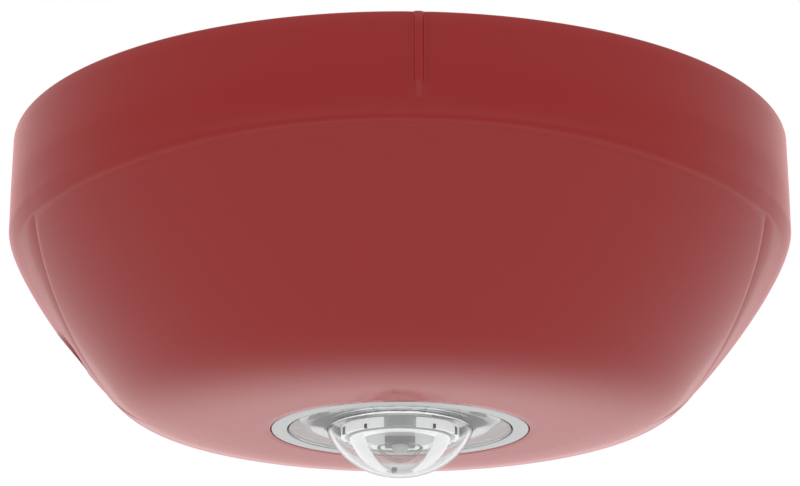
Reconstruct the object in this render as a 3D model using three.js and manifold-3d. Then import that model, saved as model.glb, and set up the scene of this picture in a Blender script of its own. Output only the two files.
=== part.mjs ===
// Ceiling horn strobe: a twist-on sounder and beacon head on a mounting base.
// Millimetres. The origin is the centre of the ceiling face, +Z points up into the ceiling,
// and the front of the device looks along -Y.
import * as THREE from "three";
import { mergeVertices } from "three/addons/utils/BufferGeometryUtils.js";
import Module from "manifold-3d";

const wasm = await Module();
wasm.setup();

// ---------------------------------------------------------------- driving dimensions
const GAP = 0.3; // clearance between pieces that touch
const ROUND = 48; // segments round the housing; a multiple of four keeps its full width on both axes

// outer housing
const RIM_R = 57;
const RIM_BOTTOM_Z = -13.8;
const SKIRT_TOP_Z = -0.3;
const WALL = 2.4;
const SHOULDER = { r: 41.9, z: -36.1, tiltDeg: 43.8 }; // where the bowl's long side meets its lower fillet
const FLAT_R = 24; // inside this radius the bottom is flat
const BOTTOM_Z = -40.9;
const PANEL = { proud: 0.55, topZ: -15.1, cornerZ: -17.0, cornerY: 26, edgeSlope: 1.025 };
const RIB = { width: 1.0, proud: 0.35, bottomZ: -11.5, x: 2.3 };
const OUTLET = { z: -29.3, halfHeight: 3.1, halfWidth: 6 };
const POST = { count: 3, firstDeg: 30, pitchR: 44, radius: 3, holeTop: -26 };

// lens opening, from the flush ring inwards
const RING = { outer: 18.5, inner: 16.25, back: -40.2, face: -40.9 };
const LENS = { lip: 17.8, flange: 16.0, lipT: 0.5, back: -39.4, face: -40.8 };
const BULLET = { footR: 10.6, tipZ: -47.5, wall: 1.1 };
const SEAT = { bore: 18.8, ledgeZ: -38.3, ledgeTop: -36.5, inner: 14.8, wall: 2.0 };
const SEAL = { inner: 16.4, outer: 18.3, top: -38.6, bottom: -39.1 };
const LED_BOARD = { radius: 14.5, top: -37.0, face: -38.1, pitchR: 12.2 };
const REFLECTOR = { steps: [[8.9, -40.4], [8.4, -41.8], [7.1, -42.4]], bore: 3.9, mouth: 5.4 };
const LED = { size: 4.3, height: 4.5, domeR: 1.25 }; // it stands on a square post of its own

// mounting base
const PLATE = { radius: 49.5, thickness: 2.7, hubInner: 46, bottom: -5.6, lipOuter: 52.3, lipTop: -3.3 };
const BAYONET = { count: 3, firstDeg: 90, lugDeg: 16, gapDeg: 20, twistDeg: 20 };
const LUG = { inner: 50.0, top: -0.9, bottom: -3.0 };
const CABLE_ENTRY_R = 11;
const FIXING = { pitchX: 30, pitchY: 25.4, length: 9.5, width: 4.6 };
const TERMINAL = { count: 4, firstDeg: 45, pitchR: 33, postR: 4.4, postZ: -3.6, reach: 10.5 };

// head internals
const COVER = { radius: 54.2, top: -8.0, bottom: -10.0 };
const BOARD = { radius: 50.0, top: -13.0, thickness: 1.6 };
const SCREW = { headR: 2.8, shaftR: 1.3 };
const SWITCH = { y: 30, ways: 4, pitch: 2.54, travel: 1.3, foot: 1.3, top: -8.7 };
const HORN = { x: -15, outer: 21.5, wall: 1.6, bottom: -32.7, plateR: 19.2, plateZ: -20.5 };
const DUCT = { halfWidth: 6.6, top: -24.9, wall: 1.4, endX: -50 };
const NOSE = { wall: 0.5, sunk: 0.35, fromX: -42 }; // the duct's oval end, which fills the outlet

const BOARD_FACE = BOARD.top - BOARD.thickness - GAP; // where the parts on the board's room side start

// ---------------------------------------------------------------- materials
const finish = (color, roughness, metalness = 0) =>
  new THREE.MeshStandardMaterial({ color, roughness, metalness });
const RED = finish(0xa03a38, 0.25);
const CLEAR = finish(0xe6eaea, 0.08);
const FROSTED = finish(0xc8cdcb, 0.5);
const WHITE = finish(0xf2f2f0, 0.4);
const BLACK = finish(0x1b1c1e, 0.45);
const RUBBER = finish(0x9c5450, 0.7);
const GREEN = finish(0x1f5a38, 0.45);
const PALE = finish(0xd0d2d2, 0.5);
const IVORY = finish(0xd9d6cb, 0.5);
const BRASS = finish(0xc9a552, 0.3, 1);
const STEEL = finish(0xb9bcbf, 0.3, 1);
const CERAMIC = finish(0xe4e0d4, 0.5);
const DOME = finish(0xe8e2a0, 0.15);

// ---------------------------------------------------------------- solids
const rad = THREE.MathUtils.degToRad;
const polar = (radius, deg) => [radius * Math.cos(rad(deg)), radius * Math.sin(rad(deg))];
const around = (count, firstDeg, make) =>
  Array.from({ length: count }, (_, i) => make(firstDeg + (360 / count) * i, i + 1));

// A closed three.js geometry as a manifold solid with its faces pointing out.
function solid(geometry) {
  const bare = new THREE.BufferGeometry().setAttribute("position", geometry.getAttribute("position"));
  if (geometry.index) bare.setIndex(geometry.index);
  const merged = mergeVertices(bare, 1e-4);
  const vertProperties = new Float32Array(merged.attributes.position.array);
  const triVerts = [];
  for (let i = 0; i < merged.index.count; i += 3) {
    const [a, b, c] = [0, 1, 2].map((k) => merged.index.getX(i + k));
    if (a !== b && b !== c && c !== a) triVerts.push(a, b, c);
  }
  const build = () =>
    new wasm.Manifold(new wasm.Mesh({ numProp: 3, vertProperties, triVerts: new Uint32Array(triVerts) }));
  const made = build();
  if (made.volume() > 0) return made;
  triVerts.reverse();
  return build();
}

function join(...pieces) {
  return pieces.flat().reduce((sum, piece) => sum.add(piece));
}

function cut(piece, ...tools) {
  return tools.flat().reduce((left, tool) => left.subtract(tool), piece);
}

// A profile of [radius, z] points turned about +Z. It starts and ends on the axis, or closes on itself.
function turned(profile, segments = 36) {
  const points = profile.map(([r, z]) => new THREE.Vector2(r, z));
  const onAxis = profile[0][0] === 0 && profile[profile.length - 1][0] === 0;
  if (!onAxis) points.push(points[0].clone());
  return solid(new THREE.LatheGeometry(points, segments).rotateX(Math.PI / 2));
}

function tube(inner, outer, bottom, top, segments = 36) {
  return turned([[inner, bottom], [outer, bottom], [outer, top], [inner, top]], segments);
}

function disc(radius, bottom, top, [x, y] = [0, 0], segments = 16) {
  const shape = new THREE.CylinderGeometry(radius, radius, top - bottom, segments);
  return solid(shape.rotateX(Math.PI / 2).translate(x, y, (top + bottom) / 2));
}

function block([x0, x1], [y0, y1], [z0, z1]) {
  const shape = new THREE.BoxGeometry(x1 - x0, y1 - y0, z1 - z0);
  return solid(shape.translate((x0 + x1) / 2, (y0 + y1) / 2, (z0 + z1) / 2));
}

// A flat outline pushed along Z (outline in X and Y), along X (in Y and Z) or along Y (in X and Z).
function pushed(shape, from, to, curveSegments) {
  return new THREE.ExtrudeGeometry(shape, { depth: to - from, bevelEnabled: false, curveSegments });
}

function alongZ(shape, from, to, curveSegments = 6) {
  return solid(pushed(shape, from, to, curveSegments).translate(0, 0, from));
}

function alongX(shape, from, to, curveSegments = 6) {
  const upright = pushed(shape, from, to, curveSegments).rotateX(Math.PI / 2).rotateZ(Math.PI / 2);
  return solid(upright.translate(from, 0, 0));
}

function alongY(shape, from, to, curveSegments = 6) {
  return solid(pushed(shape, from, to, curveSegments).rotateX(Math.PI / 2).translate(0, to, 0));
}

function outline(points) {
  return new THREE.Shape(points.map(([x, y]) => new THREE.Vector2(x, y)));
}

// A rectangle with rounded corners, centred at (x, y). With a radius of half its width it is a slot.
function roundedRect(width, depth, r, x = 0, y = 0) {
  const shape = new THREE.Shape();
  const [w, d] = [width / 2 - r, depth / 2 - r];
  shape.absarc(x + w, y - d, r, -Math.PI / 2, 0);
  shape.absarc(x + w, y + d, r, 0, Math.PI / 2);
  shape.absarc(x - w, y + d, r, Math.PI / 2, Math.PI);
  shape.absarc(x - w, y - d, r, Math.PI, 1.5 * Math.PI);
  return shape;
}

// Part of a ring, from one angle to another.
function ringSector(inner, outer, fromDeg, toDeg, bottom, top) {
  const shape = new THREE.Shape();
  shape.absarc(0, 0, outer, rad(fromDeg), rad(toDeg), false);
  shape.absarc(0, 0, inner, rad(toDeg), rad(fromDeg), true);
  return alongZ(shape, bottom, top, Math.ceil((toDeg - fromDeg) / 8) + 1);
}

// ---------------------------------------------------------------- scene
const root = new THREE.Group();
const base = new THREE.Group();
const head = new THREE.Group();
root.add(base, head);

function add(group, name, made, material, place = [0, 0, 0], turnDeg = 0) {
  const { vertProperties, triVerts } = made.getMesh();
  const geometry = new THREE.BufferGeometry()
    .setAttribute("position", new THREE.BufferAttribute(vertProperties, 3))
    .setIndex(new THREE.BufferAttribute(triVerts, 1));
  geometry.computeVertexNormals();
  const mesh = new THREE.Mesh(geometry, material);
  mesh.name = name;
  mesh.position.set(...place);
  mesh.rotation.z = rad(turnDeg);
  group.add(mesh);
}

// ---------------------------------------------------------------- outer housing

// The bowl's section below the rim as [radius, z] points, offset outwards by `out`: a long, slightly rounded
// side under the rim, then a fillet that runs out into the flat bottom.
function bowlCurve(out, count) {
  const [lean, drop] = [Math.sin(rad(SHOULDER.tiltDeg)), Math.cos(rad(SHOULDER.tiltDeg))];
  const at = (r, z) => new THREE.Vector2(r, z);
  const { r, z } = SHOULDER;
  const side = new THREE.CubicBezierCurve(
    at(RIM_R, RIM_BOTTOM_Z),
    at(RIM_R, RIM_BOTTOM_Z - 3),
    at(r + 12.5 * lean, z + 12.5 * drop),
    at(r, z),
  );
  const fillet = new THREE.CubicBezierCurve(
    at(r, z),
    at(r - 4.7 * lean, z - 4.7 * drop),
    at(FLAT_R + 11, BOTTOM_Z),
    at(FLAT_R, BOTTOM_Z),
  );
  return [side, fillet].flatMap((curve, part) =>
    Array.from({ length: count }, (_, i) => {
      const share = (i + part) / (count + part - 1);
      const point = curve.getPoint(share);
      const along = curve.getTangent(share);
      return [point.x - along.y * out, point.y + along.x * out];
    }),
  );
}

// Everything within the bowl's surface, offset by `out`.
function bowlSpace(out, top) {
  return turned([[0, top], [RIM_R + out, top], ...bowlCurve(out, 5), [0, BOTTOM_Z - out]], ROUND);
}

// The two smooth panels cover the bowl's front and back. Each is bounded by a shallow arch under the rim
// and by two straight edges that run in towards the middle of the bottom.
function panelMask() {
  const far = RIM_R + 5;
  const low = BOTTOM_Z - 4;
  const centreZ = PANEL.cornerZ - PANEL.cornerY / PANEL.edgeSlope; // where both edges meet the middle
  const half = [
    [far, 0],
    [PANEL.cornerY, 0],
    [PANEL.cornerY, PANEL.cornerZ],
    [0, centreZ],
    [-0.1, low],
    [far, low],
  ];
  const back = alongX(outline(half), -far, far);
  const cornerX = Math.sqrt(RIM_R ** 2 - PANEL.cornerY ** 2);
  const arch = outline([[-far, low], [far, low], [far, PANEL.cornerZ], [cornerX, PANEL.cornerZ]]);
  arch.bezierCurveTo(0.7 * cornerX, PANEL.cornerZ, 0.4 * cornerX, PANEL.topZ, 0, PANEL.topZ);
  arch.bezierCurveTo(-0.4 * cornerX, PANEL.topZ, -0.7 * cornerX, PANEL.cornerZ, -cornerX, PANEL.cornerZ);
  arch.lineTo(-far, PANEL.cornerZ);
  return join(back, back.rotate([0, 0, 180])).intersect(alongY(arch, -far, far));
}

// Bayonet lugs on the skirt's inner wall: they turn over the base's lips.
function lugs() {
  const half = BAYONET.lugDeg / 2;
  return around(BAYONET.count, BAYONET.firstDeg, (deg) =>
    ringSector(LUG.inner, RIM_R - WALL / 2, deg - half, deg + half, LUG.bottom, LUG.top),
  );
}

// Screw posts that rise from the bowl to the main board.
function posts() {
  const inside = bowlSpace(-WALL / 2, -1);
  return around(POST.count, POST.firstDeg, (deg) => {
    const place = polar(POST.pitchR, deg);
    const post = disc(POST.radius, BOTTOM_Z, BOARD_FACE, place);
    return cut(post, disc(SCREW.shaftR + GAP, POST.holeTop, 0, place, 12)).intersect(inside);
  });
}

// An oval bar along X through the outlet, drawn in by `inset`.
function outletOval(inset, from, to) {
  const oval = new THREE.Shape();
  oval.absellipse(0, OUTLET.z, OUTLET.halfWidth - inset, OUTLET.halfHeight - inset, 0, 2 * Math.PI);
  return alongX(oval, from, to);
}

function makeHousing() {
  const seatOuter = SEAT.bore + SEAT.wall;
  const shell = turned(
    [
      [RIM_R, SKIRT_TOP_Z],
      ...bowlCurve(0, 6),
      [SEAT.bore, BOTTOM_Z],
      [SEAT.bore, SEAT.ledgeZ],
      [SEAT.inner, SEAT.ledgeZ],
      [SEAT.inner, SEAT.ledgeTop],
      [seatOuter, SEAT.ledgeTop],
      [seatOuter, BOTTOM_Z + WALL],
      ...bowlCurve(-WALL, 4).reverse(),
      [RIM_R - WALL, SKIRT_TOP_Z],
    ],
    ROUND,
  );
  const skin = turned([...bowlCurve(PANEL.proud, 6), ...bowlCurve(-WALL / 2, 4).reverse()], ROUND);
  const envelope = disc(RIM_R, BOTTOM_Z, 0, [0, 0], ROUND);
  const panels = skin.intersect(panelMask()).intersect(envelope);
  const rib = block(
    [RIB.x - RIB.width / 2, RIB.x + RIB.width / 2],
    [-RIM_R - RIB.proud, -RIM_R + WALL / 2],
    [RIB.bottomZ, SKIRT_TOP_Z],
  );
  const bowl = cut(join(shell, panels, posts()), outletOval(0, -RIM_R, HORN.x - HORN.outer));
  return join(bowl, rib, lugs());
}

// ---------------------------------------------------------------- lens and strobe

// The bullet's surface from its foot to its tip, drawn in by `inset`.
function bulletCurve(inset, count) {
  const foot = new THREE.Vector2(BULLET.footR - inset, LENS.face);
  const tip = new THREE.Vector2(0, BULLET.tipZ + inset);
  const drop = foot.y - tip.y;
  const curve = new THREE.CubicBezierCurve(
    foot,
    new THREE.Vector2(0.78 * foot.x, foot.y - 0.46 * drop),
    new THREE.Vector2(0.51 * foot.x, tip.y),
    tip,
  );
  return curve.getPoints(count).map(({ x, y }) => [x, y]);
}

function makeLens() {
  const lipBottom = LENS.back - LENS.lipT;
  const body = turned(
    [
      [0, LENS.back],
      [LENS.lip, LENS.back],
      [LENS.lip, lipBottom],
      [LENS.flange, lipBottom],
      [LENS.flange, LENS.face],
      ...bulletCurve(0, 7),
    ],
    36,
  );
  const top = LENS.back + 1;
  const mouth = BULLET.footR - BULLET.wall;
  const hollow = turned([[0, top], [mouth, top], ...bulletCurve(BULLET.wall, 6)], 36);
  return cut(body, hollow);
}

// A white ring of steps round the LED, open in the middle.
function makeReflector() {
  const top = LED_BOARD.face - GAP;
  const steps = REFLECTOR.steps.flatMap(([r, z], i) => {
    const from = i ? REFLECTOR.steps[i - 1][1] : top;
    return [[r, from], [r, z]];
  });
  const lowest = REFLECTOR.steps[REFLECTOR.steps.length - 1][1];
  const mouth = [[REFLECTOR.mouth, lowest], [REFLECTOR.bore, lowest + 2]];
  return turned([[REFLECTOR.bore, top], ...steps, ...mouth], 28);
}

function addStrobe() {
  const face = LED_BOARD.face - GAP;
  const half = LED.size / 2;
  const ledFace = face - LED.height;
  const dome = Array.from({ length: 6 }, (_, i) => {
    const [r, drop] = polar(LED.domeR, 18 * i);
    return [r, ledFace - GAP - drop];
  });
  dome[5][0] = 0;
  add(head, "lens", makeLens(), CLEAR);
  add(head, "lens_ring", tube(RING.inner, RING.outer, RING.face, RING.back, 40), FROSTED);
  add(head, "lens_seal", tube(SEAL.inner, SEAL.outer, SEAL.bottom, SEAL.top, 36), RUBBER);
  add(head, "led_board", disc(LED_BOARD.radius, LED_BOARD.face, LED_BOARD.top, [0, 0], 32), PALE);
  add(head, "reflector", makeReflector(), WHITE);
  add(head, "strobe_led", block([-half, half], [-half, half], [ledFace, face]), PALE);
  add(head, "led_dome", turned([[0, ledFace - GAP], ...dome], 20), DOME);
  const onBoard = (deg) => [...polar(LED_BOARD.pitchR, deg), 0];
  const driver = block([-1.1, 1.1], [-1.5, 1.5], [face - 0.6, face]);
  add(head, "led_driver", driver, BLACK, onBoard(200), 200);
  [130, 335].forEach((deg, i) => {
    const chip = block([-0.8, 0.8], [-1.2, 1.2], [face - 0.5, face]);
    add(head, `led_resistor_${i + 1}`, chip, BLACK, onBoard(deg), deg);
  });
}

// ---------------------------------------------------------------- horn

// A cup with a duct whose oval nose fills the outlet in the bowl's side. The brass plate rests on a step
// inside the cup.
function makeHornChamber() {
  const inner = HORN.outer - HORN.wall;
  const throatR = HORN.plateR - 1;
  const centre = [HORN.x, 0];
  const mouthTop = DUCT.top - DUCT.wall;
  const mouthBottom = HORN.bottom + DUCT.wall;
  const outside = join(
    disc(HORN.outer, HORN.bottom, BOARD_FACE, centre, 36),
    block([DUCT.endX, HORN.x], [-DUCT.halfWidth, DUCT.halfWidth], [HORN.bottom, DUCT.top]),
  ).intersect(bowlSpace(-WALL - GAP, -1));
  const nose = outletOval(GAP, -RIM_R, NOSE.fromX).intersect(bowlSpace(-NOSE.sunk, -1));
  return cut(
    join(outside, nose),
    outletOval(GAP + NOSE.wall, -RIM_R, HORN.x),
    disc(inner, HORN.plateZ - GAP, 0, centre, 36),
    disc(throatR, mouthBottom, 0, centre, 36),
    block(
      [NOSE.fromX, HORN.x],
      [-DUCT.halfWidth + DUCT.wall, DUCT.halfWidth - DUCT.wall],
      [mouthBottom, mouthTop],
    ),
  );
}

function addHorn() {
  const place = [HORN.x, 0, 0];
  const plateTop = HORN.plateZ + 0.3;
  const ceramicTop = plateTop + GAP + 0.3;
  const capBottom = ceramicTop + 0.8;
  const ceramic = disc(0.62 * HORN.plateR, plateTop + GAP, ceramicTop, [0, 0], 30);
  add(head, "horn_chamber", makeHornChamber(), BLACK);
  add(head, "piezo_plate", disc(HORN.plateR, HORN.plateZ, plateTop, [0, 0], 36), BRASS, place);
  add(head, "piezo_ceramic", ceramic, CERAMIC, place);
  const cap = turned(
    [
      [3, capBottom],
      [HORN.plateR - 2, capBottom],
      [HORN.plateR - 2, plateTop + GAP],
      [HORN.plateR, plateTop + GAP],
      [HORN.plateR, capBottom + 2],
      [3, capBottom + 2],
    ],
    36,
  );
  add(head, "horn_cap", cap, BLACK, place);
}

// ---------------------------------------------------------------- main board

function makeMainBoard() {
  const plate = disc(BOARD.radius, BOARD.top - BOARD.thickness, BOARD.top, [0, 0], 48);
  const holes = around(POST.count, POST.firstDeg, (deg) =>
    disc(SCREW.shaftR + GAP, -20, 0, polar(POST.pitchR, deg), 12),
  );
  return cut(plate, holes);
}

// A square chip with a row of short legs on each side.
function makeChip(size, height, legs) {
  const half = size / 2;
  const pitch = size / (legs + 1);
  const body = block([-half, half], [-half, half], [-height, 0]);
  const row = Array.from({ length: legs }, (_, i) => {
    const x = -half + pitch * (i + 1);
    return block([x - 0.2, x + 0.2], [half - 0.5, half + 1], [-0.6, -0.2]);
  });
  return join(body, [0, 90, 180, 270].flatMap((deg) => row.map((leg) => leg.rotate([0, 0, deg]))));
}

function makeCapacitor(radius, height) {
  const groove = 0.5;
  return turned(
    [
      [0, 0],
      [radius, 0],
      [radius, -2],
      [radius - groove, -2.6],
      [radius, -3.2],
      [radius, -height + 0.6],
      [radius - 0.6, -height],
      [0, -height],
    ],
    18,
  );
}

function makeTransformer() {
  const flange = (bottom, top) => disc(5, bottom, top, [0, 0], 20);
  return join(flange(-1.5, 0), disc(3.8, -9, 0, [0, 0], 20), flange(-10, -8.5));
}

function makeInductor() {
  const can = alongZ(roundedRect(10, 10, 1.5), -5, 0, 3);
  return cut(can, tube(3.2, 3.9, -6, -4.6, 24));
}

// A row of long pins in a plastic strip, from the main board down to the strobe's board.
function makeLink() {
  const top = BOARD_FACE;
  const bottom = LED_BOARD.top + GAP;
  const half = 0.32;
  const pins = [-3.81, -1.27, 1.27, 3.81].map((y) =>
    block([-half, half], [y - half, y + half], [bottom, top]),
  );
  const strip = (from, to) => block([-1.25, 1.25], [-5, 5], [from, to]);
  return join(strip(bottom, bottom + 2.5), strip(top - 2.5, top), pins);
}

function addBoard() {
  add(head, "main_board", makeMainBoard(), GREEN);
  add(head, "capacitor", makeCapacitor(5, 12.5), BLACK, [27, 21, BOARD_FACE]);
  add(head, "boost_inductor", makeInductor(), BLACK, [24, -5, BOARD_FACE]);
  add(head, "horn_transformer", makeTransformer(), IVORY, [26, -24, BOARD_FACE]);
  add(head, "microcontroller", makeChip(9, 1.6, 5), BLACK, [3, -31, BOARD_FACE]);
  add(head, "bridge_rectifier", makeChip(5.5, 2.2, 2), BLACK, [38, 3, BOARD_FACE]);
  add(head, "strobe_link", makeLink(), BLACK, [10.3, 0, 0]);
}

// ---------------------------------------------------------------- option switch

function addOptionSwitch() {
  const bottom = BOARD.top + GAP;
  const halfX = (SWITCH.ways * SWITCH.pitch) / 2;
  const body = block([-halfX - 0.8, halfX + 0.8], [SWITCH.y - 3.1, SWITCH.y + 3.1], [bottom, SWITCH.top]);
  const wayX = (i) => -halfX + SWITCH.pitch * (i + 0.5);
  const halfRun = (SWITCH.foot + SWITCH.travel) / 2; // half of what a slider sweeps
  const wells = Array.from({ length: SWITCH.ways }, (_, i) =>
    block(
      [wayX(i) - 0.8, wayX(i) + 0.8],
      [SWITCH.y - halfRun - 0.25, SWITCH.y + halfRun + 0.25],
      [SWITCH.top - 1.4, 0],
    ),
  );
  add(head, "option_switch", cut(body, wells), BLACK);
  const low = SWITCH.y - halfRun;
  for (let i = 0; i < SWITCH.ways; i += 1) {
    const foot = block([-0.5, 0.5], [low, low + SWITCH.foot], [SWITCH.top - 1.1, SWITCH.top + 0.4]);
    add(head, `option_slider_${i + 1}`, foot, WHITE, [wayX(i), 0, 0]);
  }
}

// ---------------------------------------------------------------- back cover

function bladeDeg(terminalDeg) {
  return terminalDeg + THREE.MathUtils.radToDeg(TERMINAL.reach / TERMINAL.pitchR);
}

function makeBackCover() {
  const plate = disc(COVER.radius, COVER.bottom, COVER.top, [0, 0], ROUND);
  const sleeves = around(POST.count, POST.firstDeg, (deg) =>
    disc(POST.radius + 0.4, BOARD.top + GAP, COVER.bottom + 0.5, polar(POST.pitchR, deg)),
  );
  const screwHoles = around(POST.count, POST.firstDeg, (deg) => [
    disc(SCREW.shaftR + GAP, -20, 0, polar(POST.pitchR, deg), 12),
    disc(SCREW.headR + GAP, COVER.top - 1.2, 0, polar(POST.pitchR, deg), 16),
  ]).flat();
  const tabSlots = around(TERMINAL.count, TERMINAL.firstDeg, (deg) =>
    alongZ(roundedRect(1.4, 3.8, 0.4, TERMINAL.pitchR), -11, -7, 2).rotate([0, 0, bladeDeg(deg)]),
  );
  const window = alongZ(roundedRect(SWITCH.ways * SWITCH.pitch + 3.4, 8, 1, 0, SWITCH.y), -11, -7, 3);
  const rib = tube(20, 21.2, COVER.bottom - 1.2, COVER.bottom + 0.5, 36);
  return cut(join(plate, sleeves, rib), screwHoles, tabSlots, window);
}

// Blades on the back of the head wipe the base's contacts as the head is twisted on.
function makeBlade() {
  const bladeTop = COVER.top + GAP + 0.5;
  const strip = alongZ(roundedRect(5, 12, 1.2), COVER.top + GAP, bladeTop, 3);
  return join(strip, block([-0.3, 0.3], [-1.5, 1.5], [BOARD.top + GAP, bladeTop - 0.1]));
}

function makeScrew(top, length) {
  const cap = disc(SCREW.headR, top - 1.2, top, [0, 0], 16);
  const shaft = disc(SCREW.shaftR, top - length, top - 1, [0, 0], 8);
  const slot = (w, l) => block([-w, w], [-l, l], [top - 0.6, top + 1]);
  return cut(join(cap, shaft), slot(0.35, 1.8), slot(1.8, 0.35));
}

function addBackCover() {
  add(head, "back_cover", makeBackCover(), IVORY);
  around(TERMINAL.count, TERMINAL.firstDeg, (deg, number) => {
    const at = bladeDeg(deg);
    add(head, `contact_blade_${number}`, makeBlade(), BRASS, [...polar(TERMINAL.pitchR, at), 0], at);
  });
  around(POST.count, POST.firstDeg, (deg, number) => {
    const screw = makeScrew(COVER.top + 0.3, 15);
    add(head, `cover_screw_${number}`, screw, STEEL, [...polar(POST.pitchR, deg), 0], 20 * number);
  });
}

// ---------------------------------------------------------------- mounting base

// Slots for the ceiling screws: one pair on each of two usual back-box pitches.
function fixingSlots() {
  const { pitchX, pitchY, length, width } = FIXING;
  return [
    ...[-pitchX, pitchX].map((x) => roundedRect(length, width, width / 2, x, 0)),
    ...[-pitchY, pitchY].map((y) => roundedRect(width, length, width / 2, 0, y)),
  ].map((shape) => alongZ(shape, -8, 2, 4));
}

// The ceiling side is hollowed between its rim, its ribs and the pads round the slots and terminals.
function ceilingRecess() {
  const depth = 1.2;
  const ribs = around(8, 22.5, (deg) => block([10, 48], [-0.7, 0.7], [-2, 2]).rotate([0, 0, deg]));
  const pads = [
    ...around(2, 0, (deg) => disc(7.5, -2, 2, polar(FIXING.pitchX, deg))),
    ...around(2, 90, (deg) => disc(7.5, -2, 2, polar(FIXING.pitchY, deg))),
    ...around(TERMINAL.count, TERMINAL.firstDeg, (deg) => disc(5.5, -2, 2, polar(TERMINAL.pitchR, deg))),
  ];
  return cut(tube(CABLE_ENTRY_R + 2.4, PLATE.radius - 3, -depth, 1, ROUND), ribs, pads);
}

function makeBase() {
  const plate = disc(PLATE.radius, -PLATE.thickness, 0, [0, 0], ROUND);
  const hub = tube(PLATE.hubInner, PLATE.radius, PLATE.bottom, -PLATE.thickness + 0.5, ROUND);
  const collar = tube(CABLE_ENTRY_R - 0.5, CABLE_ENTRY_R + 1.8, -4.6, -1, 32);
  const half = BAYONET.gapDeg / 2;
  const step = 360 / BAYONET.count;
  const lips = around(BAYONET.count, BAYONET.firstDeg, (deg) => {
    const gapEnd = deg + BAYONET.twistDeg + half;
    const gapStart = gapEnd - BAYONET.gapDeg + step;
    return ringSector(PLATE.radius - 0.5, PLATE.lipOuter, gapEnd, gapStart, PLATE.bottom, PLATE.lipTop);
  });
  const stops = around(BAYONET.count, BAYONET.firstDeg, (deg) => {
    const edge = deg - BAYONET.lugDeg / 2 - 0.6;
    const [low, high] = [PLATE.lipTop - 0.5, LUG.top + 0.2];
    return ringSector(PLATE.radius - 0.5, PLATE.lipOuter, edge - 2.5, edge, low, high);
  });
  const terminalPosts = around(TERMINAL.count, TERMINAL.firstDeg, (deg) =>
    disc(TERMINAL.postR, TERMINAL.postZ, -1.5, polar(TERMINAL.pitchR, deg)),
  );
  const screwWells = around(TERMINAL.count, TERMINAL.firstDeg, (deg) =>
    disc(SCREW.shaftR + GAP, -8, -1.2, polar(TERMINAL.pitchR, deg), 10),
  );
  const entry = disc(CABLE_ENTRY_R, -8, 2, [0, 0], 32);
  const full = join(plate, hub, collar, lips, stops, terminalPosts);
  return cut(full, entry, fixingSlots(), ceilingRecess(), screwWells);
}

// A bent strip: its foot is clamped at the terminal, its far end presses on the head's blade.
function makeBaseContact() {
  const top = TERMINAL.postZ - GAP;
  const t = 0.4;
  const run = -6.9;
  const reach = TERMINAL.reach;
  const side = outline([
    [-3.2, top],
    [-3.2, top - t],
    [4.2, top - t],
    [reach - 3.5, run],
    [reach + 2.5, run],
    [reach + 4, run + 1],
    [reach + 4, run + 1 + t],
    [reach + 2.5, run + t],
    [reach - 3.3, run + t],
    [4.4, top],
  ]);
  return cut(alongX(side, -2.4, 2.4), disc(SCREW.shaftR + GAP, -8, 0, [0, 0], 12));
}

function addBase() {
  add(base, "mounting_base", makeBase(), RED);
  const clampTop = TERMINAL.postZ - 2 * GAP - 0.4;
  const clamp = cut(
    alongZ(roundedRect(7, 7, 0.8), clampTop - 0.8, clampTop, 2),
    disc(SCREW.shaftR + GAP, -8, 0, [0, 0], 12),
  );
  const screw = makeScrew(0, 5.2).rotate([180, 0, 0]).translate([0, 0, clampTop - 0.8 - GAP - 1.2]);
  around(TERMINAL.count, TERMINAL.firstDeg, (deg, number) => {
    const place = [...polar(TERMINAL.pitchR, deg), 0];
    add(base, `base_contact_${number}`, makeBaseContact(), BRASS, place, deg);
    add(base, `terminal_clamp_${number}`, clamp, STEEL, place, deg);
    add(base, `terminal_screw_${number}`, screw, STEEL, place, deg + 25 * number);
  });
}

// ---------------------------------------------------------------- assembly
add(head, "outer_housing", makeHousing(), RED);
addStrobe();
addHorn();
addBoard();
addOptionSwitch();
addBackCover();
addBase();

export default root;
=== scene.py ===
"""Ceiling horn strobe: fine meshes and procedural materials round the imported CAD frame.

Everything is laid out in millimetres in the CAD frame and scaled to metres when a mesh is made.
The origin is the centre of the ceiling face, +Z points up into the ceiling, and the front of the
device looks along -Y.
"""
import math
import bmesh
import bpy
import numpy as np
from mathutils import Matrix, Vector


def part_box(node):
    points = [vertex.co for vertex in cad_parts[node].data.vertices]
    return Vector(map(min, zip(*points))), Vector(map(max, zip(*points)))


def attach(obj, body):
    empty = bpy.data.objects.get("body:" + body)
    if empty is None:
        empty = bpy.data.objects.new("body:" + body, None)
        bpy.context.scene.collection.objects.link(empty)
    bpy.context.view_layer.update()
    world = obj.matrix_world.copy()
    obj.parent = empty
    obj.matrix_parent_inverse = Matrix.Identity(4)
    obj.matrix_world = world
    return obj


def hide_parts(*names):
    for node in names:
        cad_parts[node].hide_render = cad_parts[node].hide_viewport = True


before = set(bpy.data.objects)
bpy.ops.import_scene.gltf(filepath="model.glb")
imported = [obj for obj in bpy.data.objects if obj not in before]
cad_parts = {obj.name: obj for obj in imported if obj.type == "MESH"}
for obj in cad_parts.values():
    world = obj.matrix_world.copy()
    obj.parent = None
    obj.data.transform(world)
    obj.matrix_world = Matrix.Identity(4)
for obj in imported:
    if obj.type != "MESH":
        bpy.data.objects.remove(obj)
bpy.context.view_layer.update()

MM = 0.001
ON_AXIS = 1e-6  # a radius below this lies on the axis


def cad_size(node):
    """(lowest corner, highest corner) of a CAD node in millimetres."""
    low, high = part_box(node)
    return np.array(low) / MM, np.array(high) / MM


# ---------------------------------------------------------------- driving dimensions, in millimetres
housing_low, housing_high = cad_size("outer_housing")
ring_low, ring_high = cad_size("lens_ring")
lens_low, lens_high = cad_size("lens")

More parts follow.
